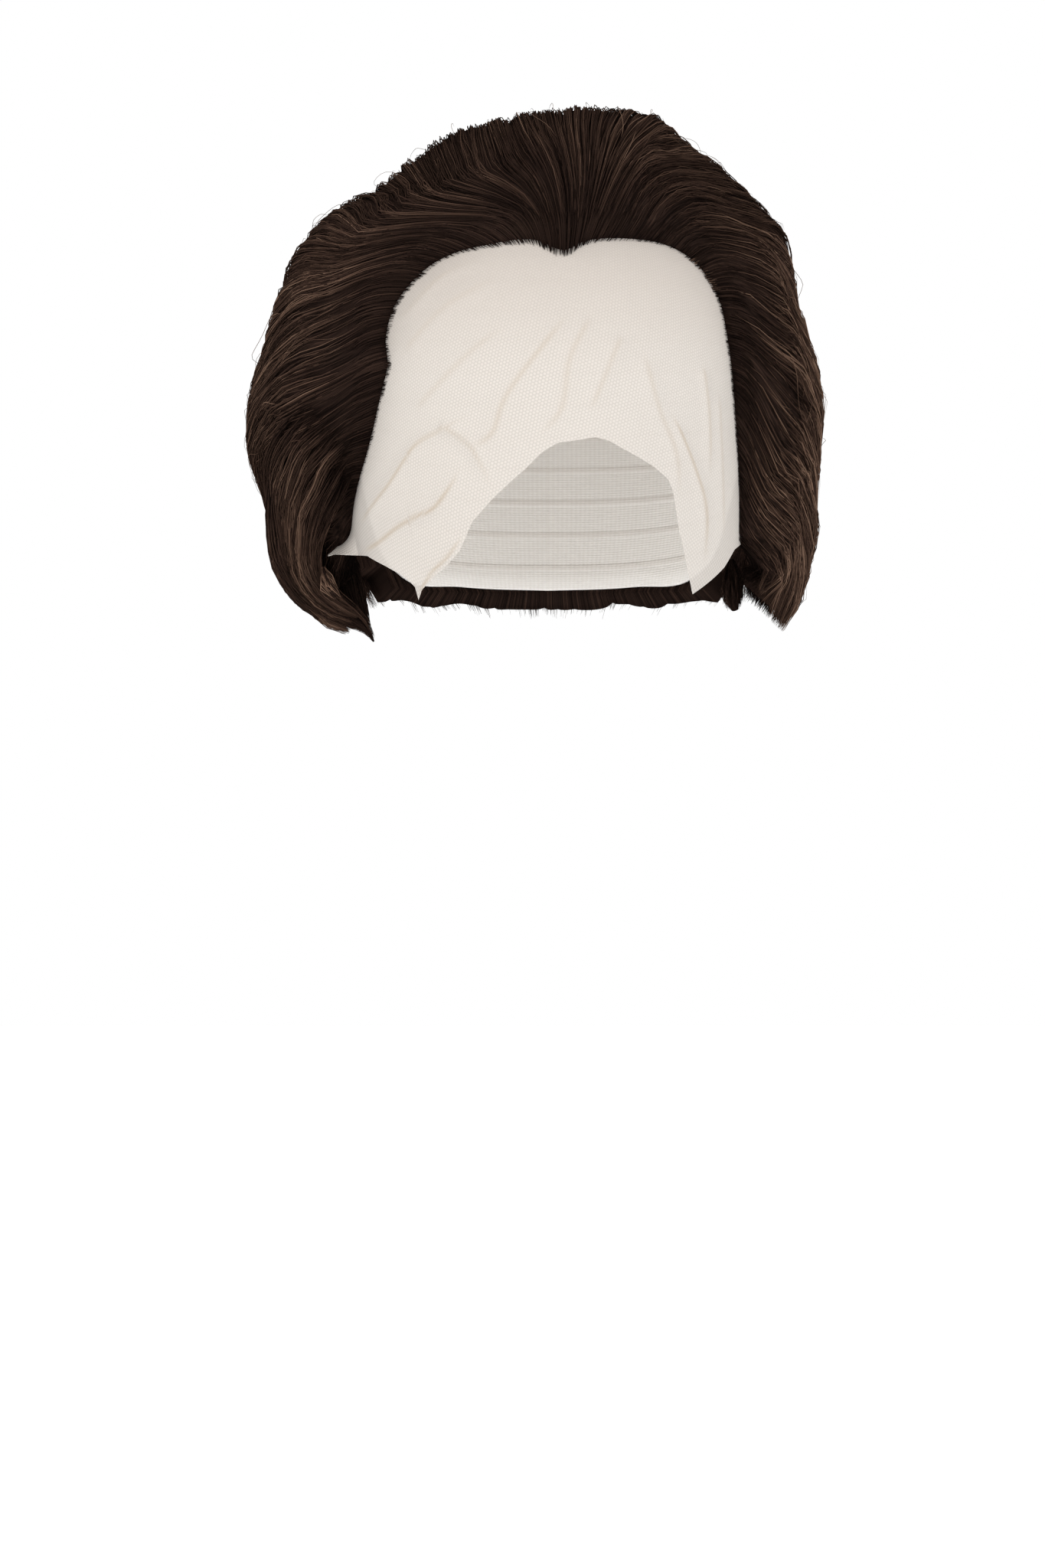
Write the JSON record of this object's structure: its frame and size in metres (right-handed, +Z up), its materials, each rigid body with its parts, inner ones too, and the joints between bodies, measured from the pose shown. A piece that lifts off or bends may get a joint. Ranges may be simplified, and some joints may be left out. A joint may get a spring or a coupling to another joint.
{
  "type": "lace front wig",
  "caption": "Short dark brown lace front wig, brushed back from the hairline, on a net cap with an uncut sheer lace panel, in its worn form.",
  "frame": {"origin": "the crown of the wearer's head, on the inner face of the cap at the middle of its top", "axes": "+Z up out of the crown, -Y towards the face, +X towards the wearer's left side"},
  "size_m": [0.2115, 0.2194, 0.1985],
  "materials": {
    "net_cap": "matte",
    "sheer_lace": "matte",
    "hair": "satin",
    "hair_tips": "satin"
  },
  "bodies": {
    "root": {"foundation_cap": "net_cap", "lace_front": "sheer_lace", "hair_right_side": "hair", "hair_front_top": "hair", "hair_crown": "hair", "hair_back": "hair", "hair_left_side": "hair", "hair_rolled_lock": "hair_tips", "hair_under_lock": "hair_tips"}
  },
  "joints": []
}
